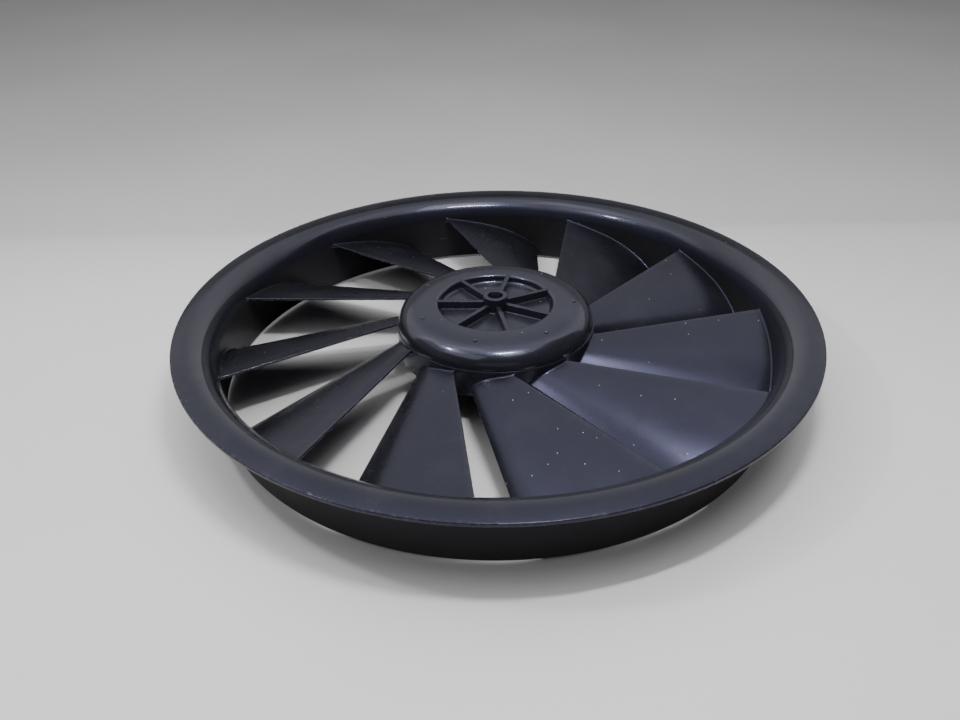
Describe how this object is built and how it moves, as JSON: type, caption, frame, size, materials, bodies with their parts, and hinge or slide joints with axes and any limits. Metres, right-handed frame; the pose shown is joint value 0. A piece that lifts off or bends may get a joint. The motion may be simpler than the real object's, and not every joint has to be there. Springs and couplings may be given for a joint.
{
  "type": "banded axial blower wheel",
  "caption": "Banded axial impeller for a drying blower: flared outer ring, cambered blades and a ribbed hollow hub with a bore for a flatted shaft.",
  "frame": {"origin": "on the spin axis, in the plane of the rear sleeve's end, 2 mm below the ring's lower rim", "axes": "+Z along the spin axis towards the flared inlet side; +Y towards the flat in the front of the bore"},
  "size_m": [0.344, 0.344, 0.0484],
  "materials": {
    "lip_plastic": "satin moulded, fine grain",
    "band_plastic": "matt moulded",
    "blade_plastic": "satin moulded, fine grain",
    "hub_plastic": "semi-gloss moulded"
  },
  "bodies": {
    "root": {"ring_band": "band_plastic", "ring_lip": "lip_plastic", "blade_01": "blade_plastic", "blade_02": "blade_plastic", "blade_03": "blade_plastic", "blade_04": "blade_plastic", "blade_05": "blade_plastic", "blade_06": "blade_plastic", "blade_07": "blade_plastic", "blade_08": "blade_plastic", "blade_09": "blade_plastic", "blade_10": "blade_plastic", "blade_11": "blade_plastic", "hub_cap": "hub_plastic", "hub_skirt": "hub_plastic", "hub_web": "hub_plastic", "rib_1": "hub_plastic", "rib_2": "hub_plastic", "rib_3": "hub_plastic", "rib_4": "hub_plastic", "rib_5": "hub_plastic", "rib_6": "hub_plastic", "rib_7": "hub_plastic", "front_boss": "hub_plastic", "rear_sleeve": "hub_plastic", "cap_pins": "hub_plastic"}
  },
  "joints": []
}
